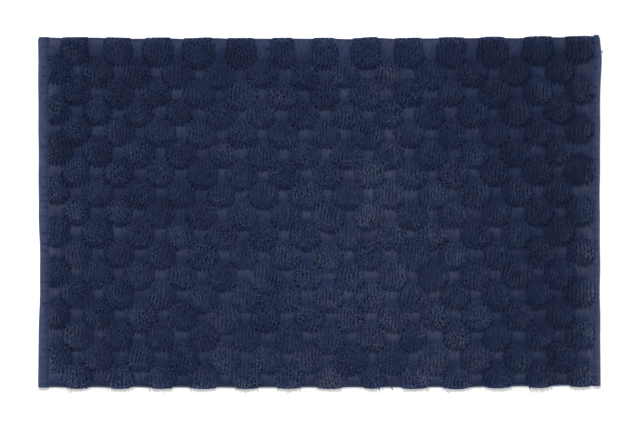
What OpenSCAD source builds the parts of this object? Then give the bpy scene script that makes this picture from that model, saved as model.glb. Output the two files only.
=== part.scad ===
// A terry bath mat lying flat: a woven ground cloth, four sewn hems and a chequer of
// round raised pile dots with flat squares between them. All sizes are in millimetres.
// The origin is on the floor under the mat's centre. +X runs along the mat to its
// right end, +Y runs across it to its back edge, and +Z is up, out of the pile.

/* [Mat] */
// Length over both end hems
mat_l = 800; // [700:10:900]
// Width over both long hems
mat_w = 500; // [440:10:560]
// Radius of the mat's corners, seen from above
corner_r = 4; // [1:0.5:8]
// Thickness of the ground cloth
cloth_t = 2.6; // [2.4:0.1:4]

/* [Hems] */
// Width of the plain band at the left end
left_band_w = 13.5; // [8:0.5:18]
// Width of the plain band at the right end
right_band_w = 9.5; // [8:0.5:18]
// Thickness of a band's upper layer, which lies on the ground cloth
band_t = 2; // [1:0.1:3]
// Thickness of the layer folded under the ground cloth
fold_t = 1.4; // [1.2:0.1:1.8]
// Width of the cloth turned under along each long edge
long_hem_w = 12; // [8:0.5:20]

/* [Seams] */
// Thickness of the sewing thread
thread_d = 0.9; // [0.6:0.1:1]
// Length of one stitch
stitch_l = 3.8; // [2.5:0.1:4]
// Distance from one stitch to the next
stitch_pitch = 5; // [4.5:0.5:8]
// Distance from a seam to the inner edge of its hem
seam_inset = 2; // [1.5:0.25:3]

/* [Pile dots] */
// Rows of dots across the mat
dot_rows = 17; // [15:2:19]
// Dots in each row
dots_in_row = 13; // [12:1:14]
// Gap between a dot and its diagonal neighbours
dot_gap = 0.6; // [0.3:0.1:3]
// Height of the loops above the ground cloth
pile_h = 6.4; // [4:0.2:10]
// Radius of a dot's rounded shoulder
shoulder_r = 2.6; // [1:0.2:3.8]
// Radius of the shallow crown over a dot
crown_r = 150; // [80:10:400]
// Left edge of the mat to the centre of the first dot that touches the left band
left_margin = 25; // [22:0.5:30]
// Right edge of the mat to the centre of the last dot that touches the right band
right_margin = 27.5; // [22:0.5:30]
// Back edge of the mat to the centres of the first row
back_margin = 21.5; // [20:0.5:26]
// Front edge of the mat to the centres of the last row
front_margin = 15.3; // [12:0.1:26]

/* [Hidden] */
$fn = 48;

cell_x = (mat_l - left_margin - right_margin) / (2 * dots_in_row - 1);
cell_y = (mat_w - back_margin - front_margin) / (dot_rows - 1);
dot_r = (norm([cell_x, cell_y]) - dot_gap) / 2;

x_left = -mat_l / 2;
x_right = mat_l / 2;
y_front = -mat_w / 2;
y_back = mat_w / 2;
// The pile fills the mat between the two bands.
x_pile_left = x_left + left_band_w;
x_pile_right = x_right - right_band_w;
band_top = cloth_t + band_t;
thread_r = thread_d / 2;
// Half of a stitch's thickness sinks into a band; the underside seams sink in whole.
band_groove = thread_r;
under_groove = thread_d + 0.05;

NAVY = [0.13, 0.17, 0.30];
NAVY_CLOTH = [0.20, 0.24, 0.42];
NAVY_BAND = [0.30, 0.34, 0.52];
NAVY_THREAD = [0.16, 0.19, 0.34];

// Rows are numbered from the back edge, with two digits.
function row_name(i) = str("pile_row_", i < 10 ? "0" : "", i);

// The mat's outline seen from above, with its rounded corners.
module outline() {
    square([mat_l - 2 * corner_r, mat_w], center = true);
    square([mat_l, mat_w - 2 * corner_r], center = true);
    for (sx = [-1, 1], sy = [-1, 1])
        translate([sx * (mat_l / 2 - corner_r), sy * (mat_w / 2 - corner_r)])
            circle(r = corner_r);
}

// A box given by its low and high corners.
module box(low, high) {
    translate(low)
        cube(high - low);
}

// The woven base. Its edges step up on the underside, over the layers folded under it.
module ground_cloth() {
    color(NAVY_CLOTH)
    difference() {
        box([x_left + fold_t, y_front + fold_t, 0], [x_right - fold_t, y_back - fold_t, cloth_t]);
        box([x_left, y_front, -1], [x_pile_left, y_back, fold_t]);
        box([x_pile_right, y_front, -1], [x_right, y_back, fold_t]);
        box([x_left, y_front, -1], [x_right, y_front + long_hem_w, fold_t]);
        box([x_left, y_back - long_hem_w, -1], [x_right, y_back, fold_t]);
    }
}

// Section of an end band: cloth wrapped round the end of the ground cloth. The first
// coordinate runs inwards from the mat's edge, the second is the height.
module band_section(w) {
    difference() {
        union() {
            translate([band_top / 2, 0])
                square([w - band_top / 2, band_top]);
            translate([band_top / 2, band_top / 2])
                circle(d = band_top);
        }
        translate([fold_t, fold_t])
            square([w, cloth_t - fold_t]);
        translate([w - seam_inset - thread_r, band_top - band_groove])
            square([thread_d, 2 * band_groove]);
    }
}

// Section of a long hem: a rounded turn at the edge and a layer under the ground cloth.
module long_hem_section() {
    difference() {
        union() {
            translate([cloth_t / 2, 0])
                square([long_hem_w - cloth_t / 2, cloth_t]);
            translate([cloth_t / 2, cloth_t / 2])
                circle(d = cloth_t);
        }
        translate([fold_t, fold_t])
            square([long_hem_w, cloth_t]);
        translate([long_hem_w - seam_inset - thread_r, -1])
            square([thread_d, under_groove + 1]);
    }
}

// A band along the left end, as wide as w.
module end_band(w) {
    intersection() {
        translate([x_left, y_back, 0])
            rotate([90, 0, 0])
                linear_extrude(height = mat_w)
                    band_section(w);
        translate([0, 0, -1])
            linear_extrude(height = band_top + 2)
                outline();
    }
}

module hem_left() {
    color(NAVY_BAND)
    end_band(left_band_w);
}

module hem_right() {
    color(NAVY_BAND)
    mirror([1, 0, 0])
        end_band(right_band_w);
}

// A turned edge along the front, from one band to the other.
module hem_front() {
    color(NAVY_BAND)
    translate([x_pile_left, y_front, 0])
        rotate([90, 0, 90])
            linear_extrude(height = x_pile_right - x_pile_left)
                long_hem_section();
}

module hem_back() {
    color(NAVY_BAND)
    mirror([0, 1, 0])
        hem_front();
}

// One stitch along +Y, centred on the origin: a short thread with round ends.
module stitch() {
    straight = stitch_l - thread_d;
    translate([0, -straight / 2, 0])
        rotate([-90, 0, 0])
            cylinder(h = straight, r = thread_r);
    for (s = [-1, 1])
        translate([0, s * straight / 2, 0])
            sphere(r = thread_r);
}

// A row of stitches along +Y, centred on the origin and no longer than run.
module seam(run) {
    count = floor((run - stitch_l) / stitch_pitch) + 1;
    for (i = [0 : count - 1])
        translate([0, (i - (count - 1) / 2) * stitch_pitch, 0])
            stitch();
}

module stitches_left() {
    color(NAVY_THREAD)
    translate([x_pile_left - seam_inset, 0, band_top])
        seam(mat_w - 2 * corner_r);
}

module stitches_right() {
    color(NAVY_THREAD)
    translate([x_pile_right + seam_inset, 0, band_top])
        seam(mat_w - 2 * corner_r);
}

module stitches_front() {
    color(NAVY_THREAD)
    translate([(x_pile_left + x_pile_right) / 2, y_front + long_hem_w - seam_inset, under_groove - thread_r])
        rotate([0, 0, 90])
            seam(x_pile_right - x_pile_left - 2 * seam_inset);
}

module stitches_back() {
    color(NAVY_THREAD)
    mirror([0, 1, 0])
        stitches_front();
}

// Half of a dot's section: upright side, rounded shoulder and shallow crown.
module dot_section() {
    intersection() {
        union() {
            square([dot_r, pile_h - shoulder_r]);
            square([dot_r - shoulder_r, pile_h]);
            translate([dot_r - shoulder_r, pile_h - shoulder_r])
                circle(r = shoulder_r);
        }
        translate([0, pile_h - crown_r])
            circle(r = crown_r, $fn = 240);
    }
}

module dot() {
    rotate_extrude()
        dot_section();
}

// Everything between the bands and inside the long edges.
module pile_field() {
    box([x_pile_left, y_front, cloth_t - 1], [x_pile_right, y_back, cloth_t + pile_h + 1]);
}

// Row i, counted from the back edge. Every second row is shifted left by one cell. A dot
// that a band or the front edge cuts off is trimmed there.
module pile_row(i) {
    shifted = i % 2 == 0;
    y = y_back - back_margin - (i - 1) * cell_y;
    x_first = x_left + left_margin + (shifted ? 0 : cell_x);
    color(NAVY)
    for (k = [0 : dots_in_row - 1]) {
        x = x_first + 2 * k * cell_x;
        inside = x - dot_r > x_pile_left && x + dot_r < x_pile_right && y - dot_r > y_front;
        if (inside)
            translate([x, y, cloth_t])
                dot();
        else
            intersection() {
                translate([x, y, cloth_t])
                    dot();
                pile_field();
            }
    }
}

ground_cloth();
hem_left();
hem_right();
hem_front();
hem_back();
stitches_left();
stitches_right();
stitches_front();
stitches_back();
for (i = [1 : dot_rows])
    pile_row(i);
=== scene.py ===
"""The looks of a navy terry bath mat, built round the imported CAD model.

Each raised dot is made of separate yarn loops that stand in columns on a ribbed ground
cloth. Bands, turned edges, stitches and loose thread ends are real geometry too.
Everything is in metres, +Z up, in the frame of the CAD model.
"""
import math

import bpy
import numpy as np
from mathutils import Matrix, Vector


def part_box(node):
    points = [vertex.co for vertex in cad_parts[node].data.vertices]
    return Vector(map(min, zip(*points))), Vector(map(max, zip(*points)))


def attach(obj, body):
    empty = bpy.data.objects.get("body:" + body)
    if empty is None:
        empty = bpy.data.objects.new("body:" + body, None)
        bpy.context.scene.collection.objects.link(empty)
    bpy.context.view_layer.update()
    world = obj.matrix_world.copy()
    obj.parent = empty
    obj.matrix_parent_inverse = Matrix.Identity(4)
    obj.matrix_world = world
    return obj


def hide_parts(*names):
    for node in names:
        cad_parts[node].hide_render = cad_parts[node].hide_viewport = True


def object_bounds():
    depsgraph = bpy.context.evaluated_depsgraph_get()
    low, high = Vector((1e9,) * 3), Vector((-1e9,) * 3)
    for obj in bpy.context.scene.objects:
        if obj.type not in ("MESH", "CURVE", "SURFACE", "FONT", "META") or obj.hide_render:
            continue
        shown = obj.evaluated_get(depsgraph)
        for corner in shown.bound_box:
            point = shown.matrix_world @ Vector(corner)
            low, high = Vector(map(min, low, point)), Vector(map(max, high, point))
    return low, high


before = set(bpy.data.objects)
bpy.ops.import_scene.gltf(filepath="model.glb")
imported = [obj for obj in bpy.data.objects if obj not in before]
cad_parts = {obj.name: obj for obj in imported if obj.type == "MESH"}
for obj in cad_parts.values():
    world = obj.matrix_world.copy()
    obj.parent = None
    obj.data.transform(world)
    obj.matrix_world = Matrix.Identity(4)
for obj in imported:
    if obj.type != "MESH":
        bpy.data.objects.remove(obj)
cad_low, cad_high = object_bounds()

MM = 0.001
TAU = 2 * math.pi
BODY = "root"
SEED = 4107

# ---- Places taken from the CAD model ----

HALF_L = cad_high.x
HALF_W = cad_high.y
CLOTH_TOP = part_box("ground_cloth")[1].z
BAND_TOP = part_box("hem_left")[1].z
PILE_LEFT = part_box("hem_left")[1].x
PILE_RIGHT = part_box("hem_right")[0].x
PILE_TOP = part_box("pile_row_01")[1].z
LONG_HEM_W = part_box("hem_front")[1].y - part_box("hem_front")[0].y
SEAM_LEFT = sum(c.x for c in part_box("stitches_left")) / 2
SEAM_RIGHT = sum(c.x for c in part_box("stitches_right")) / 2
SEAM_FRONT = sum(c.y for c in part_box("stitches_front")) / 2
PILE_ROWS = sorted(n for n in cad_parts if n.startswith("pile_row_"))

# ---- Sizes that only the looks need ----

FOLD_T = 1.4 * MM           # a layer folded under the ground cloth
FLOOR_GAP = 0.1 * MM        # the underside stays this far above the floor

COLUMN = 4.85 * MM          # from one column of loops to the next
PAIR = 1.55 * MM            # between the two loops that stand side by side in a column
LOOP_STEP = 3.1 * MM        # from one loop to the next along a column
SWAY = 2.2 * MM             # how far the columns wander from straight lines
WIGGLE = 0.7 * MM           # how far they wiggle on the way
YARN_R = 1.06 * MM          # radius of the yarn in a loop
LOOP_R = 1.2 * MM           # half the length of a loop's crest
LOOP_H = PILE_TOP - CLOTH_TOP - YARN_R      # how high a loop's crest is in the middle of a dot
LOOP_ROOT = 0.4 * MM        # how deep a loop's feet sink into the cloth
YARN_SIDES = 5
LOOP_RINGS = 7
RIM_DROP = 0.55             # share of its height by which a dot's front rim is lower
BACK_DROP = 0.35            # share by which its back rim drops, on top of most of that
OVERHANG = 1.9 * MM         # how far a dot's outer loops lean out
BACK_SPREAD = 0.59          # length of a first-row dot's front half over its back half, which
                            # spreads to the mat's edge
NAP = 1.6 * MM              # how far every loop leans towards the front
PUFF = 1.3 * MM             # how far the flats between the dots bulge up
FOLD_R = 1.35 * MM          # radius of the fold along a long edge
TOP_LOOP = 4.1 * MM         # how far loops stand up where the fold begins
SIDE_LOOP = 2.0 * MM        # how far they stand out sideways, halfway round it

RIB = 3.7 * MM              # from one rib of the ground cloth to the next
RIB_H = 0.50 * MM           # how far a rib rises and the dip beside it falls
SHEET_MARGIN = 1.5 * MM     # the ground cloth ends this far inside the fold of a long edge

THREAD_R = 0.42 * MM
STITCH_STEP = 5.0 * MM      # from one stitch to the next
STITCH_L = 3.9 * MM
PUCKER = 13.0 * MM          # from one crease of a band to the next
CORD = 3.6 * MM             # from one small ridge of the right band's edge to the next
CORNER_R = 1.4 * MM         # radius of a band's corners, seen from above
EAR = 1.8 * MM              # how far the right band's back corner curls up and out

# How this mat lies: its columns drift and its rows bow between the straight edges.
DRIFT = 3.2 * MM            # the middle columns lie this far left of an even mat's
DRIFT_BACK = 4.5 * MM       # and this much farther at the back edge, nearer at the front
BOW = 7.2 * MM              # a row's ends lie this far behind its middle
BOW_BACK = 2.2 * MM         # and this much farther at the back edge, less at the front
PINCH = 3.5 * MM            # the outermost rows lie this far in front of an even mat's


# ---- Small helpers ----

def smooth(t):
    """0 below 0, 1 above 1, and a smooth step between."""
    t = np.clip(t, 0, 1)
    return t * t * (3 - 2 * t)


def bell(t, middle, width):
    """1 at the middle, falling smoothly to both sides."""
    return np.exp(-((t - middle) / width) ** 2)


def near(distance, width):
    """1 at an edge and outside it, falling off with the distance inwards."""
    return np.exp(-np.maximum(distance, 0) / width)


def waves(x, y, size, seed):
    """A smooth random field, mostly between -1 and 1, with bumps about size across."""
    count = 12
    rng = np.random.default_rng(seed)
    total = np.zeros(np.broadcast(x, y).shape)
    for _ in range(count):
        angle = rng.uniform(0, TAU)
        k = TAU / size * rng.uniform(0.55, 1.5)
        along = np.cos(angle) * x + np.sin(angle) * y
        total += np.sin(k * along + rng.uniform(0, TAU))
    return total / math.sqrt(count / 2) / 1.6


def shares(x, y):
    """A place as shares of the mat: -1 to 1 from left to right, and from front to back."""
    return x / HALF_L, y / HALF_W


def settle(x, y):
    """Where a point of a perfectly even mat lies on this one."""
    u, v = shares(x, y)
    dx = -(DRIFT + DRIFT_BACK * v) * (1 - u * u)
    dy = (BOW + BOW_BACK * v) * u * u - PINCH * v * v
    return x + dx, y + dy


def mesh_piece(name, points, faces, material, shade_smooth=True):
    """A mesh object. faces is a list of integer arrays, one row per face."""
    mesh = bpy.data.meshes.new(name)
    points = np.ascontiguousarray(points, dtype=np.float32).reshape(-1, 3)
    corners = np.concatenate([f.ravel() for f in faces]).astype(np.int32)
    sizes = np.concatenate([np.full(len(f), f.shape[1]) for f in faces])
    starts = np.concatenate([[0], np.cumsum(sizes)[:-1]]).astype(np.int32)
    mesh.vertices.add(len(points))
    mesh.vertices.foreach_set("co", points.ravel())
    mesh.loops.add(len(corners))
    mesh.loops.foreach_set("vertex_index", corners)
    mesh.polygons.add(len(sizes))
    mesh.polygons.foreach_set("loop_start", starts)
    mesh.update(calc_edges=True)
    mesh.polygons.foreach_set("use_smooth", np.full(len(sizes), shade_smooth))
    mesh.materials.append(material)
    piece = bpy.data.objects.new(name, mesh)
    bpy.context.scene.collection.objects.link(piece)
    return piece


def store(piece, name, values):
    """Keeps one number per point on a piece, for its material to read."""
    kept = piece.data.attributes.new(name, "FLOAT", "POINT")
    kept.data.foreach_set("value", np.ascontiguousarray(values, dtype=np.float32).ravel())


def unit(v):
    """Vectors scaled to a length of 1."""
    return v / np.maximum(np.linalg.norm(v, axis=-1, keepdims=True), 1e-12)


def tubes(paths, side, radius, phase, oval, turns):
    """Points and faces of closed tubes along paths, an array (tube, ring, xyz).

    side is a direction across each path, radius one number per tube, or per tube and ring.
    oval flattens the section, phase turns it, and turns is how often it twists round along
    the tube, as two plied strands do.
    """
    n, rings, _ = paths.shape
    tangent = unit(np.gradient(paths, axis=1))
    side = side[:, None, :] - (side[:, None, :] * tangent).sum(-1, keepdims=True) * tangent
    side = unit(side)
    normal = np.cross(side, tangent)
    angle = np.arange(YARN_SIDES) * TAU / YARN_SIDES
    twist = phase[:, None] + turns * TAU * np.linspace(0, 1, rings)[None, :]
    radius = np.broadcast_to(np.asarray(radius).reshape(n, -1), (n, rings))
    r = radius[:, :, None] * (1 + oval * np.cos(2 * (angle[None, None, :] - twist[:, :, None])))
    across = np.cos(angle)[None, None, :, None] * normal[:, :, None, :]
    across = across + np.sin(angle)[None, None, :, None] * side[:, :, None, :]
    points = paths[:, :, None, :] + r[..., None] * across

    ids = np.arange(n * rings * YARN_SIDES).reshape(n, rings, YARN_SIDES)
    after = np.roll(ids, -1, axis=2)
    walls = np.stack([ids[:, :-1], after[:, :-1], after[:, 1:], ids[:, 1:]], axis=-1)
    return points, [walls.reshape(-1, 4), ids[:, 0, ::-1], ids[:, -1]]


def swept(name, points, material):
    """A closed solid from a grid of points (station, place round the section, xyz)."""
    stations, count, _ = points.shape
    ids = np.arange(stations * count).reshape(stations, count)
    after = np.roll(ids, -1, axis=1)
    walls = np.stack([ids[:-1], after[:-1], after[1:], ids[1:]], axis=-1).reshape(-1, 4)
    faces = [walls, ids[:1, ::-1], ids[-1:]]
    flat = points.reshape(-1, 3)
    a, b, c, d = (flat[walls[:, i]] for i in range(4))
    volume = (a * np.cross(b, c)).sum() + (a * np.cross(c, d)).sum()
    if volume < 0:
        faces = [f[:, ::-1] for f in faces]
    return mesh_piece(name, flat, faces, material)


# ---- Materials ----

def new_material(name, roughness, sheen, sheen_tint):
    """A nearly matt cloth material, its node tree and its shader."""
    material = bpy.data.materials.new(name)
    material.use_nodes = True
    shader = material.node_tree.nodes["Principled BSDF"]
    shader.inputs["Roughness"].default_value = roughness
    shader.inputs["Specular IOR Level"].default_value = 0.08
    shader.inputs["Sheen Weight"].default_value = sheen
    shader.inputs["Sheen Roughness"].default_value = 0.5
    shader.inputs["Sheen Tint"].default_value = (*sheen_tint, 1)
    return material, material.node_tree, shader


def node(tree, kind, **settings):
    """A new node. Each setting is the value of an input, or else a property."""
    made = tree.nodes.new(kind)
    for key, value in settings.items():
        if key in made.inputs:
            made.inputs[key].default_value = value
        else:
            setattr(made, key, value)
    return made


def object_noise(tree, size, detail=2.0, stretch=(1, 1, 1)):
    """Noise fixed to the object, with features about size across."""
    where = node(tree, "ShaderNodeTexCoord")
    scale = node(tree, "ShaderNodeMapping", Scale=stretch)
    noise = node(tree, "ShaderNodeTexNoise", Scale=1 / size, Detail=detail)
    tree.links.new(where.outputs["Object"], scale.inputs["Vector"])
    tree.links.new(scale.outputs["Vector"], noise.inputs["Vector"])
    return noise.outputs["Fac"]


def ramp(tree, value, stops):
    """Colours along value; stops is a list of (position, (r, g, b))."""
    made = node(tree, "ShaderNodeValToRGB")
    elements = made.color_ramp.elements
    while len(elements) < len(stops):
        elements.new(0.5)
    for element, (position, colour) in zip(elements, stops):
        element.position = position
        element.color = (*colour, 1)
    tree.links.new(value, made.inputs["Fac"])
    return made.outputs["Color"]


def multiplied(tree, first, *others):
    """The product of some colours."""
    colour = first
    for other in others:
        made = node(tree, "ShaderNodeMix", data_type="RGBA", blend_type="MULTIPLY")
        made.inputs[0].default_value = 1.0
        tree.links.new(colour, made.inputs[6])
        tree.links.new(other, made.inputs[7])
        colour = made.outputs[2]
    return colour


def added(tree, a, b, share):
    """a + share * b, as heights for a bump."""
    made = node(tree, "ShaderNodeMath", operation="MULTIPLY_ADD")
    tree.links.new(b, made.inputs[0])
    made.inputs[1].default_value = share
    tree.links.new(a, made.inputs[2])
    return made.outputs[0]


def roughened(tree, shader, value, low, high):
    """Roughness from low to high, as value runs from 0 to 1."""
    made = node(tree, "ShaderNodeMapRange", **{"To Min": low, "To Max": high})
    tree.links.new(value, made.inputs["Value"])
    tree.links.new(made.outputs["Result"], shader.inputs["Roughness"])


def bump(tree, shader, height, distance):
    """Fine relief, distance deep where height runs from 0 to 1."""
    made = node(tree, "ShaderNodeBump", Strength=0.6, Distance=distance)
    tree.links.new(height, made.inputs["Height"])
    tree.links.new(made.outputs["Normal"], shader.inputs["Normal"])


def stored(tree, name):
    """The number that store() kept on the piece."""
    return node(tree, "ShaderNodeAttribute", attribute_name=name).outputs["Fac"]


def wave(tree, direction, size):
    """Even ridges across a direction, size apart. At a scale of 1 they are TAU / 20 apart."""
    where = node(tree, "ShaderNodeTexCoord")
    made = node(tree, "ShaderNodeTexWave", bands_direction=direction, Scale=TAU / size / 20,
                Distortion=0.6, Detail=1.0)
    tree.links.new(where.outputs["Object"], made.inputs["Vector"])
    return made.outputs["Fac"]


def mottle_and_painted_light_ramp(tree):
    """The mat's lighter and darker areas, its painted light and shade among them: the light ones
    are a little redder.
    """
    return ramp(tree, stored(tree, "mottle_and_painted_light"), [
        (0.30, (0.465, 0.60, 0.75)),
        (0.50, (1.0, 1.0, 1.0)),
        (0.70, (1.66, 1.43, 1.19)),
        (1.00, (2.50, 2.07, 1.80)),
    ])


def terry_material():
    """Cotton yarn: mottled navy that differs from loop to loop and drifts over the mat.

    "tone" is a loop's own shade together with the painted shade of its dot, "tip" rises from 0 at
    its feet to 1 at its crest and gives painted shade at the feet and painted light at the crest,
    and "fade" is half of how much lighter than its plain shade the mat is there, painted light and
    shade included.
    """
    material, tree, shader = new_material("terry_navy", 0.95, 0.2, (0.47, 0.55, 0.94))
    loops = ramp(tree, stored(tree, "tone"), [
        (0.0, (0.0011, 0.0058, 0.0273)),
        (0.5, (0.0053, 0.0120, 0.0393)),
        (1.0, (0.0185, 0.0284, 0.0625)),
    ])
    drift = ramp(tree, object_noise(tree, 60 * MM, detail=1.0), [
        (0.35, (0.90, 1.03, 1.03)),
        (0.50, (1.0, 1.0, 1.0)),
        (0.66, (1.14, 1.0, 1.02)),
    ])
    # Painted shade: loops darker towards their feet, with painted light on their crests.
    painted_shade_depth = ramp(tree, stored(tree, "tip"), [
        (0.0, (0.26, 0.43, 0.74)),
        (0.65, (0.54, 0.69, 0.92)),
        (0.85, (1.00, 1.00, 1.00)),
        (1.0, (1.37, 1.30, 1.19)),
    ])
    fibres = object_noise(tree, 1.1 * MM, detail=3.0)
    strands = ramp(tree, fibres, [(0.35, (0.50, 0.58, 0.74)), (0.65, (1.50, 1.41, 1.22))])
    colour = multiplied(tree, loops, drift, mottle_and_painted_light_ramp(tree), painted_shade_depth, strands)
    tree.links.new(colour, shader.inputs["Base Color"])
    roughened(tree, shader, fibres, 0.86, 1.0)
    bump(tree, shader, fibres, 0.25 * MM)
    return material


def woven_material(name, dark, light, warp, weft, sheen):
    """Plain weave: warp ridges along Y and weft ridges along X, with slubs, mottling, painted
    shade and painted light.

    "rise" is high on ridges and puffs, and low in creases, seams and under loops: painted shade,
    with some random tone. "fade" is half of how much lighter than its plain shade the mat is
    there, painted light and shade included.
    """
    material, tree, shader = new_material(name, 0.9, sheen, (0.62, 0.60, 0.90))
    slubs = object_noise(tree, 3 * MM, detail=3.0, stretch=(1, 0.35, 1))
    base = ramp(tree, slubs, [(0.30, dark), (0.70, light)])
    drift = ramp(tree, object_noise(tree, 60 * MM, detail=1.0), [
        (0.35, (0.92, 1.02, 1.03)),
        (0.50, (1.0, 1.0, 1.0)),
        (0.66, (1.06, 1.0, 1.02)),
    ])
    # Painted shade: darker in dips, creases, seams and under loops, lighter on ridges.
    painted_shade_and_tone = ramp(tree, stored(tree, "painted_shade_and_tone"), [
        (0.0, (0.40, 0.51, 0.70)),
        (0.5, (0.98, 0.98, 0.98)),
        (1.0, (1.36, 1.34, 1.30)),
    ])
    threads = added(tree, wave(tree, "X", warp), wave(tree, "Y", weft), 0.7)
    shade = ramp(tree, threads, [(0.2, (0.84, 0.84, 0.86)), (1.0, (1.12, 1.12, 1.10))])
    colour = multiplied(tree, base, drift, mottle_and_painted_light_ramp(tree), painted_shade_and_tone, shade)
    tree.links.new(colour, shader.inputs["Base Color"])
    roughened(tree, shader, slubs, 0.82, 0.98)
    bump(tree, shader, added(tree, threads, object_noise(tree, 0.4 * MM), 0.8), 0.25 * MM)
    return material


def thread_material():
    """Twisted sewing thread, a little darker than the band it lies on."""
    material, tree, shader = new_material("sewing_thread_navy", 0.75, 0.25, (0.4, 0.42, 0.66))
    mottle = object_noise(tree, 0.8 * MM, detail=2.0)
    colour = ramp(tree, mottle, [(0.3, (0.009, 0.014, 0.040)), (0.7, (0.022, 0.029, 0.070))])
    tree.links.new(colour, shader.inputs["Base Color"])
    bump(tree, shader, mottle, 0.15 * MM)
    return material


def floor_material():
    """A pale, faintly uneven floor."""
    material, tree, shader = new_material("pale_floor", 0.9, 0.0, (1, 1, 1))
    tone = ramp(tree, object_noise(tree, 0.4, detail=1.0), [
        (0.3, (0.90, 0.90, 0.905)),
        (0.7, (0.93, 0.93, 0.93)),
    ])
    tree.links.new(tone, shader.inputs["Base Color"])
    return material


TERRY = terry_material()
CLOTH = woven_material("ground_cloth_navy", (0.0082, 0.0134, 0.0338), (0.0174, 0.0249, 0.0554),
                       1.3 * MM, 1.5 * MM, 0.2)
BAND = woven_material("hem_cloth_navy", (0.0155, 0.0235, 0.0575), (0.0285, 0.0390, 0.0830),
                      1.1 * MM, 1.2 * MM, 0.35)
THREAD = thread_material()


# ---- The edges of this mat ----

def dot_centres(row):
    """X of each dot in a row, their common Y, and a dot's radius, from the CAD solids.

    The end dots may be trimmed, so the inner ones give the radius and the spacing.
    """
    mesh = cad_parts[row].data
    co = np.zeros(len(mesh.vertices) * 3)
    mesh.vertices.foreach_get("co", co)
    co = co.reshape(-1, 3)
    xs = np.unique(co[:, 0])
    gap = 10 * MM
    groups = np.split(xs, np.flatnonzero(np.diff(xs) > gap) + 1)
    inner = np.array([(g[0], g[-1]) for g in groups[1:-1]])
    radius = (inner[:, 1] - inner[:, 0]).mean() / 2
    middles = inner.mean(axis=1)
    step = (middles[-1] - middles[0]) / (len(middles) - 1)
    x = middles[0] + step * np.arange(-1, len(middles) + 1)
    return x, co[:, 1].max() - radius, radius


EDGE_DOTS, EDGE_Y, DOT_R = dot_centres(PILE_ROWS[0])
DOT_STEP = EDGE_DOTS[1] - EDGE_DOTS[0]
ROW_STEP = EDGE_Y - dot_centres(PILE_ROWS[1])[1]


def flatness(x, y):
    """1 at the middle of a flat square of an even mat, and 0 from its sides outwards."""
    across = np.cos(TAU * (x - EDGE_DOTS[0]) / DOT_STEP)
    along = np.cos(math.pi * (y - EDGE_Y) / ROW_STEP)
    return np.clip(-across * along, 0, 1)


def slope_of_flats(x, y):
    """Above 0 in the back half of every flat square, and below 0 in its front half."""
    across = np.cos(TAU * (x - EDGE_DOTS[0]) / DOT_STEP)
    return -across * np.sin(math.pi * (y - EDGE_Y) / ROW_STEP)


def long_edge(x, side):
    """|Y| of the cloth's edge at x: pushed out by the dots, drawn in at the flats."""
    u = x / HALF_L
    scallop = np.cos(TAU * (x - EDGE_DOTS[0]) / DOT_STEP)
    uneven = 0.45 * MM * waves(x, 0 * x + side, 70 * MM, SEED + 5)
    if side > 0:
        # The back edge runs out towards its ends, and farthest at the right one.
        sag = 1.0 * MM - 1.2 * MM * (u * u + smooth(u))
        push = 0.10 * MM
    else:
        # The front edge is drawn in near its right end.
        sag = 0.4 * MM + 2.2 * MM * smooth((u - 0.35) / 0.6)
        push = 0.35 * MM
    return HALF_W - sag + push * scallop + uneven


def end_edge(y, side):
    """|X| of an end band's outer edge at y: flared towards its rounded corners."""
    into = np.clip(np.abs(y) - (HALF_W - 1.0 * MM - CORNER_R), 0, CORNER_R)
    cut = CORNER_R - np.sqrt(CORNER_R * CORNER_R - into * into)
    v = y / HALF_W
    flare = 1.1 * MM * v * v
    if side > 0:
        # A bulge in front of the back corner, the corner itself tucked in, and small ridges.
        flare = flare + 1.4 * MM * bell(v, 0.88, 0.09) - 1.5 * MM * smooth((v - 0.9) / 0.1)
        flare = flare + 0.22 * MM * np.cos(TAU * y / CORD)
    else:
        # A waist in the front half.
        flare = flare + 1.0 * MM - 2.4 * MM * bell(v, -0.37, 0.27)
    uneven = 0.35 * MM * waves(0 * y + side, y, 80 * MM, SEED + 6)
    return HALF_L + 0.6 * MM + flare + uneven - cut


def mottle_and_painted_light(x, y):
    """Half of how much lighter than its plain shade the mat is at a place: random patches, lighter
    and darker areas, painted shade towards its back, and painted light beside the bands and along
    its long edges.
    """
    u, v = shares(x, y)
    # It is lighter right of its middle.
    brightening = 0.25 * bell(u, 0.22, 0.30) * bell(v, -0.1, 0.9) + 0.09 * bell(u, 0.25, 0.09)
    # It is darker near its right end and at its back left.
    darker_areas = 0.13 * bell(u, 0.72, 0.20) * smooth(0.5 + v)
    darker_areas = darker_areas + 0.12 * bell(u, -0.55, 0.24) * bell(v, 0.65, 0.35)
    patches = 0.07 * waves(x, y, 240 * MM, SEED + 40) + 0.14 * waves(x, y, 65 * MM, SEED + 41)
    patches = patches + 0.07 * waves(x, y, 34 * MM, SEED + 42)
    # Painted shade: it is darker towards its back.
    inside = 0.93 + brightening - darker_areas + patches - 0.18 * v
    # Painted light: it is lighter beside the bands and along its long edges.
    painted_edge_light = 0.62 * near(x - PILE_LEFT, 16 * MM) + 0.85 * near(PILE_RIGHT - x, 14 * MM)
    painted_edge_light = painted_edge_light + 1.3 * near(HALF_W - y, 5 * MM) + 0.9 * near(HALF_W + y, 7 * MM)
    return np.clip(0.5 * inside * (1 + painted_edge_light), 0, 1)


# ---- Ground cloth ----

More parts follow.
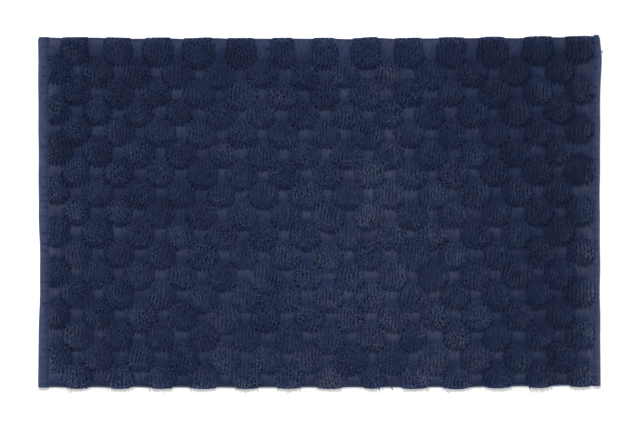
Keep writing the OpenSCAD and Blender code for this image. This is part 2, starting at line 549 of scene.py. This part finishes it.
def ground_painted_shade(x, y, rib):
    """Painted light and shade on the ground cloth at a place of an even mat: ribs are light, the
    back half of every flat is lighter than its front half, and what lies under loops is dark."""
    # Painted light on each flat's back half and painted shade on its front half, the shade deeper
    # towards the mat's front; the flats are also lighter towards the mat's back.
    fall = slope_of_flats(x, y)
    uneven = 0.12 * waves(x, y, 40 * MM, SEED + 3) + 0.10 * waves(x, y, 7 * MM, SEED + 4)
    toward_back = smooth(0.5 + 0.5 * y / HALF_W)
    fall = fall * np.where(fall < 0, 0.36 + 0.55 * (1 - toward_back), 0.36)
    in_flat = 0.43 + 0.26 * toward_back + 0.24 * rib + fall + uneven
    # Painted shade under the loops.
    bare = smooth(3 * flatness(x, y))
    return bare * in_flat + (1 - bare) * 0.38


def ground_cloth():
    """A closed sheet: ribbed and puffed up in the flats, thinner over the hems."""
    per_rib = 3
    columns = int((2 * HALF_L - 2 * SHEET_MARGIN) / RIB) * per_rib + 1
    xs = (np.arange(columns) - (columns - 1) / 2) * RIB / per_rib
    # Rows of points, measured from the centres of each row of dots, and none in a fold.
    spread = np.array([-8.2, -5.2, -1.8, 1.8, 5.2, 8.2]) * MM
    rows_y = EDGE_Y - ROW_STEP * np.arange(len(PILE_ROWS))
    ys = np.sort((rows_y[:, None] + spread[None, :]).ravel())
    ys = ys[np.abs(ys) < HALF_W - 4 * MM]
    ts = np.concatenate([[-1], ys / HALF_W, [1]])
    x, t = np.meshgrid(xs, ts)
    reach = np.where(t > 0, long_edge(x, 1), long_edge(x, -1)) - SHEET_MARGIN
    inside = smooth((1 - np.abs(t)) / 0.12) * smooth((HALF_L - np.abs(x)) / (30 * MM))
    y = t * (HALF_W + (reach - HALF_W) * smooth((np.abs(t) - 0.85) / 0.15))
    settled_x, settled_y = settle(x, y)
    px = x + (settled_x - x) * inside
    py = y + (settled_y - y) * inside
    rib = np.cos(TAU * x / RIB)
    puff = smooth(1.25 * flatness(x, y)) * (1 + 0.25 * waves(x, y, 50 * MM, SEED + 2))
    over_band = smooth((np.abs(x) - (HALF_L - 16 * MM)) / (3 * MM))
    off_edge = smooth((1 - np.abs(t)) / 0.03)
    lift = RIB_H * rib * (1 + 0.3 * waves(x, y, 25 * MM, SEED + 1)) + PUFF * puff * off_edge
    pz = CLOTH_TOP - 0.1 * MM + lift * (1 - over_band)
    top = np.stack([px, py, pz], axis=-1)

    # The underside needs few rows: it is raised over the layers folded under the edges.
    rows = len(ts)
    marks = np.array([-1, -0.955, -0.93, 0, 0.93, 0.955, 1])
    raised_there = np.array([1, 1, 0, 0, 0, 1, 1])
    rows_at = np.array([np.abs(ts - m).argmin() for m in marks])
    bottom = top[rows_at].copy()
    raised = np.maximum(raised_there[:, None], np.abs(x[rows_at]) > HALF_L - 13 * MM)
    bottom[..., 2] = FLOOR_GAP + raised * (FOLD_T + 0.05 * MM - FLOOR_GAP)

    n = len(xs)
    upper = np.arange(rows * n).reshape(rows, n)
    lower = rows * n + np.arange(len(rows_at) * n).reshape(len(rows_at), n)
    quads = [np.stack([g[:-1, :-1], g[:-1, 1:], g[1:, 1:], g[1:, :-1]], axis=-1)
             for g in (upper, lower[::-1])]
    front = np.stack([lower[0, :-1], lower[0, 1:], upper[0, 1:], upper[0, :-1]], axis=-1)
    back = np.stack([upper[-1, :-1], upper[-1, 1:], lower[-1, 1:], lower[-1, :-1]], axis=-1)
    left = np.concatenate([lower[:, 0], upper[::-1, 0]])[None, ::-1]
    right = np.concatenate([lower[:, -1], upper[::-1, -1]])[None, :]
    faces = [q.reshape(-1, 4) for q in quads] + [front, back, left, right]
    points = np.concatenate([top.reshape(-1, 3), bottom.reshape(-1, 3)])
    cloth = mesh_piece("ground_cloth_sheet", points, faces, CLOTH)
    under = np.full(bottom[..., 0].size, 0.5)
    store(cloth, "painted_shade_and_tone", np.concatenate([ground_painted_shade(x, y, rib).ravel(), under]))
    store(cloth, "mottle_and_painted_light", np.concatenate([mottle_and_painted_light(px, py).ravel(), under]))
    return cloth


# ---- Hems ----

def band_sizes(side):
    """|X| of an end band's inner edge, its width, and its seam's distance from that edge."""
    inner = abs(PILE_LEFT if side < 0 else PILE_RIGHT)
    seam = abs(SEAM_LEFT if side < 0 else SEAM_RIGHT) - inner
    return inner, HALF_L - inner, seam


def creases(y, side):
    """1 in the creases that run across an end band, and 0 between them."""
    strength = 0.6 + 0.4 * np.clip(waves(0 * y + side, y, 50 * MM, SEED + 7), -1, 1)
    phase = math.pi * (y / PUCKER + 0.30 * waves(0 * y + side, y, 70 * MM, SEED + 8))
    return np.cos(phase) ** 20 * strength


def band_height(u, y, width, seam, side):
    """Height of an end band's top, u inwards from its outer edge: puffed, and drawn
    down at the seam and in the creases."""
    middle = np.clip(u / (width - seam), 0, 1)
    puff = 0.45 * MM * np.sin(math.pi * middle) ** 0.8
    crease = -0.9 * MM * creases(y, side) * smooth(u / (7 * MM))
    groove = -0.6 * MM * bell(u, width - seam, 0.7 * MM)
    shoulder = -0.8 * MM * smooth((u - width + 1.1 * MM) / (1.1 * MM))
    return BAND_TOP - 0.25 * MM + puff + crease + groove + shoulder


def end_band(name, side):
    """The cloth wrapped round one end, with a slot that the ground cloth runs into."""
    inner, width, seam = band_sizes(side)
    turn = (BAND_TOP - FLOOR_GAP) / 2
    stations = 560
    ys = np.linspace(-1, 1, stations)
    at = np.full(stations, side * inner)
    reach = np.where(ys > 0, long_edge(at, 1), long_edge(at, -1))
    ys = ys * (reach + 0.6 * MM)
    outer = end_edge(ys, side)

    # The section runs over the top, round the outer turn, under the mat and into the slot.
    us = np.concatenate([np.linspace(1, 0.70, 8), np.linspace(0.64, turn / width, 7)]) * width
    bend = np.linspace(math.pi / 2, -math.pi / 2, 9)[1:]
    section = []
    for u in us:
        section.append((np.full_like(ys, u), band_height(u, ys, width, seam, side)))
    puckered = band_height(turn, ys, width, seam, side)
    for a in bend:
        z = FLOOR_GAP + (puckered - FLOOR_GAP) * (0.5 + 0.5 * math.sin(a))
        section.append((np.full_like(ys, turn * (1 - math.cos(a))), z))
    slot_low, slot_high = FOLD_T - 0.05 * MM, CLOTH_TOP + 0.15 * MM
    for u, z in ((width / 2, FLOOR_GAP), (width, FLOOR_GAP), (width, slot_low),
                 (width / 2, slot_low), (FOLD_T, slot_low), (FOLD_T, slot_high),
                 (width / 2, slot_high), (width, slot_high)):
        section.append((np.full_like(ys, u), np.full_like(ys, z)))
    u = np.stack([s[0] for s in section], axis=1)
    z = np.stack([s[1] for s in section], axis=1)
    stretch = (outer - inner) / width
    x = side * (inner + (width - u) * stretch[:, None])
    outward = 1 - u / width
    y = np.broadcast_to(ys[:, None], x.shape)
    if side > 0:
        curl = EAR * smooth((y / HALF_W - 0.95) / 0.05) * (1.4 * smooth(outward / 0.14) - 0.4)
        y, z = y + curl, z + np.maximum(curl, 0)
    band = swept(name, np.stack([x, y, z], axis=-1), BAND)
    # Painted shade: the band is darker towards its inner edge, in its seam and in its creases.
    # Painted light: it is lighter towards its outer edge.
    seamed = bell(u, width - seam, 0.8 * MM)
    crease = creases(ys, side)[:, None] * smooth(u / (6 * MM))
    painted_inner_shade = 1.0 if side < 0 else 0.65
    brightening = 0.03 if side < 0 else 0.08
    painted_shade_and_tone = 1.04 - painted_inner_shade * np.minimum(1 - outward, 0.75) - 0.28 * seamed - 0.70 * crease
    store(band, "painted_shade_and_tone", painted_shade_and_tone + 0.06 * waves(x, y, 9 * MM, SEED + 10))
    store(band, "mottle_and_painted_light", 0.5 + brightening * smooth((outward - 0.5) / 0.4))
    return band


def long_hem(name, side):
    """The cloth turned under along one long edge."""
    stations = 520
    gap = 0.3 * MM
    xs = np.linspace(PILE_LEFT + gap, PILE_RIGHT - gap, stations)
    edge = long_edge(xs, side)
    top = CLOTH_TOP + 0.45 * MM
    top = top + 0.2 * MM * waves(xs, 0 * xs + side, 12 * MM, SEED + 9)
    turn = (CLOTH_TOP + 0.3 * MM) / 2
    slot_low, slot_high = FOLD_T - 0.05 * MM, CLOTH_TOP + 0.05 * MM
    lip = 2.4 * MM
    section = [(lip, slot_high + 0 * xs), (lip - 0.1 * MM, top - 0.1 * MM), (turn, top)]
    for a in np.linspace(math.pi / 2, -math.pi / 2, 9)[1:]:
        z = FLOOR_GAP + (top - FLOOR_GAP) * (0.5 + 0.5 * math.sin(a))
        section.append((turn * (1 - math.cos(a)), z))
    for v, z in ((LONG_HEM_W, FLOOR_GAP), (LONG_HEM_W, slot_low), (FOLD_T, slot_low),
                 (FOLD_T, slot_high)):
        section.append((v, z + 0 * xs))
    v = np.array([s[0] for s in section])
    z = np.stack([s[1] for s in section], axis=1)
    y = side * (edge[:, None] - v[None, :])
    x = np.broadcast_to(xs[:, None], y.shape)
    hem = swept(name, np.stack([x, y, z], axis=-1), BAND)
    store(hem, "painted_shade_and_tone", 0.5 + 0.12 * waves(x, z, 6 * MM, SEED + 15))
    store(hem, "mottle_and_painted_light", 0.5 + 0 * y)
    return hem


# ---- Stitches ----

def stitch_tubes(name, middles, along, up, rng):
    """Short threads centred on middles, along a direction, their ends dipping into the
    cloth. up is 1 on the mat's top and -1 on its underside."""
    rings = 6
    t = np.linspace(-1, 1, rings)
    length = STITCH_L * rng.uniform(0.88, 1.06, len(middles))
    offset = (t * 0.5)[None, :, None] * length[:, None, None] * np.array(along)[None, None, :]
    paths = middles[:, None, :] + offset
    paths[:, :, 2] -= up * 0.8 * MM * np.abs(t[None, :]) ** 3
    side = np.cross(np.array(along), (0, 0, 1.0))
    sides = np.broadcast_to(side, (len(middles), 3)) + rng.normal(0, 0.05, (len(middles), 3))
    radius = THREAD_R * rng.uniform(0.92, 1.08, len(middles))
    points, faces = tubes(paths, sides, radius, rng.uniform(0, TAU, len(middles)), 0.12, 1.5)
    return mesh_piece(name, points, faces, THREAD)


def end_stitches(name, side):
    """The seam along an end band's top."""
    rng = np.random.default_rng(SEED + (11 if side < 0 else 12))
    _, width, seam = band_sizes(side)
    seam_x = SEAM_LEFT if side < 0 else SEAM_RIGHT
    low, high = (c.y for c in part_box("stitches_left"))
    count = int((high - low) / STITCH_STEP) + 1
    y = np.linspace(low + STITCH_L / 2, high - STITCH_L / 2, count)
    x = seam_x + rng.normal(0, 0.12 * MM, count)
    z = band_height(width - seam, y, width, seam, side) + 1.1 * THREAD_R
    return stitch_tubes(name, np.stack([x, y, z], axis=1), (0, 1.0, 0), 1, rng)


def long_stitches(name, side):
    """The seam on the underside of a long hem."""
    rng = np.random.default_rng(SEED + (13 if side < 0 else 14))
    low, high = (c.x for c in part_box("stitches_front"))
    count = int((high - low) / STITCH_STEP) + 1
    x = np.linspace(low + STITCH_L / 2, high - STITCH_L / 2, count)
    y = side * (long_edge(x, side) - (HALF_W - abs(SEAM_FRONT)))
    z = np.full(count, 1.2 * THREAD_R)
    return stitch_tubes(name, np.stack([x, y, z], axis=1), (1.0, 0, 0), -1, rng)


# ---- Pile ----

def reach_of(dx, dy):
    """How far a place is from its dot's centre: 0 there and 1 at the rim, which is an
    eight-sided shape with rounded corners."""
    slant = math.sqrt(2) * 0.95
    parts = np.abs([dx, dy, (dx + dy) / slant, (dx - dy) / slant])
    return (parts ** 10).sum(axis=0) ** 0.1


def toward(way, dx, dy):
    """How far a place lies from its dot's centre in a direction: way is 0 to the front,
    and a quarter turn to the right."""
    return dx * np.sin(way) - dy * np.cos(way)


def dots_of(row, rng):
    """A row's dots on an even mat: each one's centre and size, its own shade, and how dark the
    painted shade on its front, "lee", and on its rim can get. "back" stretches its back half."""
    centres, cy, radius = dot_centres(row)
    count = len(centres)
    off = rng.normal(0, 1.0 * MM, (2, count))
    return {
        "x": centres + off[0],
        "y": cy + NAP + off[1],
        "size": radius * rng.normal(1.04, 0.045, count),
        "shade": rng.uniform(-0.27, 0.17, count),
        "lee": rng.uniform(0.12, 0.50, count),
        "rim": rng.uniform(0.10, 0.50, count),
        "back": BACK_SPREAD if row == PILE_ROWS[0] else 1.0,
    }


def in_dots(dots, x, y):
    """Which dot each place belongs to, and its place and reach in that dot, whose radius
    counts as 1."""
    dot = np.abs(x[:, None] - dots["x"][None, :]).argmin(axis=1)
    dx = (x - dots["x"][dot]) / dots["size"][dot]
    dy = (y - dots["y"][dot]) / dots["size"][dot]
    dy = np.where(dy > 0, dots["back"] * dy, dy)
    ragged = 1 + 0.02 * waves(x, y, 14 * MM, SEED + 27)
    return dot, dx, dy, reach_of(dx, dy) * ragged


def evened(dots, x, y):
    """Y of loops, with the last one of every column moved so that the front rim is even."""
    dot, dx, dy, reach = in_dots(dots, x, y)
    # How fast reach grows to the front, how far off the rim is, and where none follows.
    nudge = 0.01
    steep = (reach_of(dx, dy - nudge) - reach_of(dx, dy)) / nudge
    gap = (1 - reach) / np.maximum(steep, 0.5)
    step = LOOP_STEP / dots["size"][dot]
    last = (dy < 0) & (gap > 0) & (gap < step) & (steep > 0.5)
    return y - np.where(last, gap - 0.5 * step, 0) * dots["size"][dot]


def flat_loops(dots):
    """Where a row's loops stand on the flat of an even mat."""
    columns = np.arange(-int(HALF_L / COLUMN), int(HALF_L / COLUMN) + 1)
    steps = np.arange(-int(HALF_W / LOOP_STEP) - 3, int(HALF_W / LOOP_STEP) + 4)
    column, step, mate = np.meshgrid(columns, steps, (-0.5, 0.5), indexing="ij")
    x = column * COLUMN + mate * PAIR
    y = (step + 0.5 * (column % 2) + 0.5 * mate) * LOOP_STEP
    in_row = np.abs(y - dots["y"].mean()) < 1.2 * DOT_R
    x, y = x[in_row], y[in_row]
    x = x + SWAY * waves(x, y, 60 * MM, SEED + 26) + WIGGLE * waves(x, y, 20 * MM, SEED + 28)
    return x, evened(dots, x, y)


def fold_loops(dots, rng):
    """Where loops stand round the fold of the nearer long edge, on an even mat, and how
    far round it they are."""
    side = 1.0 if dots["y"].mean() > 0 else -1.0
    columns = np.arange(-int(HALF_L / COLUMN), int(HALF_L / COLUMN) + 1)
    # The back fold has fewer rounds of loops, because they lie flatter there.
    turns = np.radians([10, 52, 94] if side > 0 else [10, 38, 66, 94])
    column, mate, turned = np.meshgrid(columns, (-0.5, 0.5), turns, indexing="ij")
    x = (column * COLUMN + 1.5 * mate * PAIR).ravel()
    x = x + rng.normal(0, 0.5 * MM, x.size)
    turned = turned.ravel()
    shift = settle(x, side * HALF_W)[1] - side * HALF_W
    y = side * (long_edge(x, side) + 0.5 * FOLD_R * turned) - shift
    return x, y, turned


def heights(x, y, dx, dy, reach):
    """How high loops on the flat stand: lower round a dot's rim, and lowest at its back."""
    front_drop = RIM_DROP * reach ** 6 * (0.65 + 0.35 * np.clip(-dy, 0, 1) ** 4)
    # Where a dot meets its diagonal neighbours, it drops less.
    meeting = 2 * np.abs(dx * dy) / np.maximum(dx * dx + dy * dy, 0.01)
    front_drop *= 1 - 0.4 * meeting ** 2
    back_drop = BACK_DROP * smooth(1.2 * dy) * smooth(1.4 * reach - 0.4)
    height = LOOP_H * (1 - front_drop - back_drop)
    return height * (1 + 0.09 * waves(x, y, 45 * MM, SEED + 20))


def tones_and_painted_shade(rng, dots, dot, x, y, dx, dy, reach):
    """Each loop's shade, 0 dark and 1 light: its own, its dot's, and the painted shade on the
    dot's front, on its rim and on the side that faces the mat's middle, with painted light on its
    back."""
    u, v = shares(x, y)
    wander = 0.5 * waves(x, y, 110 * MM, SEED + 25)
    # How deep the painted shade gets: more towards the mat's back and its ends.
    painted_shade_depth = np.clip(1 + v + u * u, 0.3, 2.5)
    away = toward(wander - 0.5 * u, dx, dy)
    # Painted shade on the dot's front.
    lee = painted_shade_depth * dots["lee"][dot] * np.clip(away, 0, 1) ** 3.2
    # A painted dark crescent along the dot's rim, turned outwards.
    outward = toward(0.6 * wander + 0.9 * u, dx, dy) / np.maximum(reach, 0.1)
    facing = np.clip(2.8 * outward - 1.8, 0, 1)
    rim = 1.2 * painted_shade_depth * dots["rim"][dot] * smooth((reach - 0.80) / 0.15) * facing
    inner = -dx * u
    tone = 0.57 + rng.normal(0, 0.19, len(x)) + dots["shade"][dot] - lee - rim
    # Painted light on the dot's back; a little lighter towards its rim.
    tone = tone + 0.06 * np.clip(-away, 0, 1) ** 2 + 0.14 * (reach ** 2 - 0.45)
    # Painted shade on the side that faces the mat's middle.
    tone = tone - 0.30 * inner - 0.90 * np.maximum(inner - 0.2, 0)
    return np.clip(tone + 0.08 * waves(x, y, 22 * MM, SEED + 24), 0, 1)


def pile_row(row, number):
    """One row of dots: every loop is an arch of yarn that leans and twists a little.

    Where the cloth turns under at a long edge, the loops turn with it.
    """
    rng = np.random.default_rng(SEED + 100 + number)
    dots = dots_of(row, rng)
    x, y = flat_loops(dots)
    fold_x, fold_y, fold_turn = fold_loops(dots, rng)
    turned = np.concatenate([0 * x, fold_turn])
    x, y = np.concatenate([x, fold_x]), np.concatenate([y, fold_y])
    dot, dx, dy, reach = in_dots(dots, x, y)
    x, y = settle(x, y)
    untidy = 0.5 + 0.5 * np.clip(waves(x, y, 80 * MM, SEED + 21), -1, 1)
    x = x + (0.13 + 0.17 * untidy) * MM * rng.normal(0, 1, len(x))
    y = y + (0.22 + 0.15 * untidy) * MM * rng.normal(0, 1, len(y))
    side = np.where(y > 0, 1.0, -1.0)
    edge = np.where(y > 0, long_edge(x, 1), long_edge(x, -1)) - FOLD_R
    clear = 0.8 * YARN_R
    keep = (reach < 1) & (x > PILE_LEFT + clear) & (x < PILE_RIGHT - clear)
    keep &= (turned > 0) | (np.abs(y) < edge)
    x, y, turned, dot, dx, dy, reach, side, edge, untidy = (
        a[keep] for a in (x, y, turned, dot, dx, dy, reach, side, edge, untidy))
    n = len(x)
    round_fold = turned > 0

    # How each loop stands: its height, twist, lean and the half length of its crest.
    sideways = np.sin(turned)
    stand = (TOP_LOOP * (1 - sideways) + SIDE_LOOP * sideways) * (1 - 0.8 * reach ** 5)
    flatter = 0.35
    stand *= np.where(side > 0, flatter, 1)
    height = np.where(round_fold, stand, heights(x, y, dx, dy, reach)) * rng.uniform(0.93, 1.04, n)
    twist = rng.normal(0, 1, n) * np.radians(6 + 19 * untidy ** 2 + 35 * round_fold)
    veer = 0.5 * x / HALF_L + 0.45 * waves(x, y, 60 * MM, SEED + 22)
    nap = NAP * (1 + 0.5 * waves(x, y, 60 * MM, SEED + 23)) * np.where(round_fold, 0.2, 1)
    loose = (0.18 + 0.22 * untidy + 0.06 * reach ** 4) * MM
    lean_x = OVERHANG * dx * reach ** 3 + nap * np.sin(veer) + loose * rng.normal(0, 1, n)
    lean_y = OVERHANG * dy * reach ** 3 - nap * np.cos(veer) + 1.3 * loose * rng.normal(0, 1, n)
    crest = LOOP_R * rng.uniform(0.85, 1.15, n)

    # Its arch runs past a half circle at both ends, and then straight down to its feet.
    turn = np.radians(np.linspace(-30, 210, LOOP_RINGS - 2))
    tall = 1.25
    flat = np.concatenate([[0.8], np.cos(turn), [-0.8]])[None, :] * crest[:, None]
    drop = (1 - np.concatenate([[0], np.sin(turn), [0]]))[None, :] * tall * crest[:, None]
    w = height[:, None] - drop
    w[:, [0, -1]] = -LOOP_ROOT
    w[:, 1:-1] = np.maximum(w[:, 1:-1], 0.2 * MM)
    share = np.clip(w / height[:, None], 0, 1) ** 1.4
    along = np.cos(twist)[:, None] * flat + np.where(round_fold, 0, lean_y)[:, None] * share
    px = x[:, None] - np.sin(twist)[:, None] * flat + lean_x[:, None] * share
    foot_y = np.where(round_fold, side * (edge + FOLD_R * sideways), y)
    foot_z = CLOTH_TOP - FOLD_R * (1 - np.cos(turned))
    out, up = (side * sideways)[:, None], np.cos(turned)[:, None]
    py = foot_y[:, None] + w * out + along * up
    pz = foot_z[:, None] + w * up - along * out
    pz = np.maximum(pz, FLOOR_GAP + YARN_R)
    paths = np.stack([px, py, pz], axis=-1)
    across = np.stack([np.cos(twist), np.sin(twist), 0 * twist], axis=1)
    swell = np.interp(np.linspace(-1, 1, LOOP_RINGS), [-1, -0.5, 0.5, 1], [0.8, 1.0, 1.0, 0.8])
    radius = YARN_R * rng.uniform(0.88, 1.0, n)[:, None] * swell[None, :]
    points, faces = tubes(paths, across, radius, rng.uniform(0, TAU, n), 0.10, 1.0)
    loops = mesh_piece(row + "_loops", points, faces, TERRY)

    per_point = points.shape[:3]
    tone = tones_and_painted_shade(rng, dots, dot, x, y, dx, dy, reach)
    tip = np.clip(w / np.where(round_fold, 1.1 * height, LOOP_H)[:, None], 0, 1)
    store(loops, "tone", np.broadcast_to(tone[:, None, None], per_point))
    store(loops, "tip", np.broadcast_to(tip[:, :, None], per_point))
    store(loops, "mottle_and_painted_light", np.broadcast_to(mottle_and_painted_light(px, py)[:, :, None], per_point))
    return loops


# ---- Loose thread ends ----

def loose_threads():
    """Thread ends that stick out of the hems, each a thin curl."""
    rng = np.random.default_rng(SEED + 30)
    starts = np.array([
        (HALF_L, 0.92 * HALF_W, 1.8 * MM),
        (0.257 * HALF_L, -HALF_W + 1.0 * MM, 1.6 * MM),
        (0.6 * HALF_L, HALF_W - 2.5 * MM, 1.6 * MM),
        (-HALF_L + 1 * MM, -0.97 * HALF_W, 1.6 * MM),
    ])
    away = np.array([(1, 0.1, 0), (0.25, -1, 0), (0.3, 1, 0), (-0.6, -0.8, 0)], dtype=float)
    length = np.array([5.2, 4.6, 2.4, 2.6]) * MM
    thread_r = 0.55 * MM
    count = len(starts)
    rings = 8
    t = np.linspace(0, 1, rings)
    away = unit(away)
    across = np.cross(away, (0, 0, 1.0))
    curl = np.sin(t[None, :] * 3.6 + rng.uniform(0, 1, (count, 1))) * t[None, :]
    paths = starts[:, None, :] + (t[None, :] * length[:, None])[..., None] * away[:, None, :]
    paths += (0.28 * curl * length[:, None])[..., None] * across[:, None, :]
    paths[:, :, 2] -= 0.5 * MM * t[None, :]
    points, faces = tubes(paths, across, np.full(count, thread_r), np.zeros(count), 0.1, 2.0)
    return mesh_piece("loose_thread_ends", points, faces, THREAD)


# ---- Build the mat ----

def placed(piece, slot_name, *nodes):
    """The piece, riding on the body, in place of the CAD nodes. slot_name is not used."""
    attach(piece, BODY)
    if nodes:
        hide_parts(*nodes)
    return piece


sheet = placed(ground_cloth(), "ground_cloth", "ground_cloth")
on_sheet = [
    placed(end_band("hem_left_band", -1), "hem_cloth", "hem_left"),
    placed(end_band("hem_right_band", 1), "hem_cloth", "hem_right"),
    placed(long_hem("hem_front_turn", -1), "hem_cloth", "hem_front"),
    placed(long_hem("hem_back_turn", 1), "hem_cloth", "hem_back"),
    placed(end_stitches("seam_left", -1), "sewing_thread", "stitches_left"),
    placed(end_stitches("seam_right", 1), "sewing_thread", "stitches_right"),
    placed(long_stitches("seam_front", -1), "sewing_thread", "stitches_front"),
    placed(long_stitches("seam_back", 1), "sewing_thread", "stitches_back"),
    placed(loose_threads(), "sewing_thread"),
]
for number, row in enumerate(PILE_ROWS):
    on_sheet.append(placed(pile_row(row, number), "terry_pile", row))


# ---- Floor, light and camera ----

def floor():
    """A wide flat floor under the mat."""
    size = 8.0
    corners = np.array([(-size, -size, 0), (size, -size, 0), (size, size, 0), (-size, size, 0)])
    piece = mesh_piece("floor", corners, [np.array([[0, 1, 2, 3]])], floor_material(), False)
    return piece


def studio():
    """White surroundings, and a soft spot lamp behind the mat that fades to its corners."""
    world = bpy.data.worlds.new("studio")
    world.use_nodes = True
    sky = world.node_tree.nodes["Background"]
    sky.inputs["Color"].default_value = (1.0, 1.0, 1.0, 1)
    sky.inputs["Strength"].default_value = 0.84
    bpy.context.scene.world = world
    place, aim = Vector((-0.2, 2.0, 2.0)), Vector((-0.06, -0.24, 0))
    light = bpy.data.lights.new("key", "SPOT")
    light.energy = 590
    light.color = (1.0, 0.985, 0.96)
    light.shadow_soft_size = 0.5
    light.spot_size = math.radians(34)
    light.spot_blend = 1.0
    key = bpy.data.objects.new("key", light)
    key.location = place
    key.rotation_euler = (place - aim).to_track_quat("Z", "Y").to_euler()
    bpy.context.scene.collection.objects.link(key)
    bpy.context.scene.view_settings.view_transform = "Standard"


def camera():
    """Straight above the mat, which fills about seven eighths of the picture's width."""
    distance = 3.2
    filled = 0.87656
    seen = 2 * HALF_L / filled
    lens = bpy.data.cameras.new("camera")
    lens.sensor_width = 36.0
    lens.lens = lens.sensor_width * distance / seen
    lens.clip_end = 50
    made = bpy.data.objects.new("camera", lens)
    made.location = (0.5 * MM, -1.1 * MM, PILE_TOP + distance)
    bpy.context.scene.collection.objects.link(made)
    bpy.context.scene.camera = made


ground = floor()
studio()
camera()
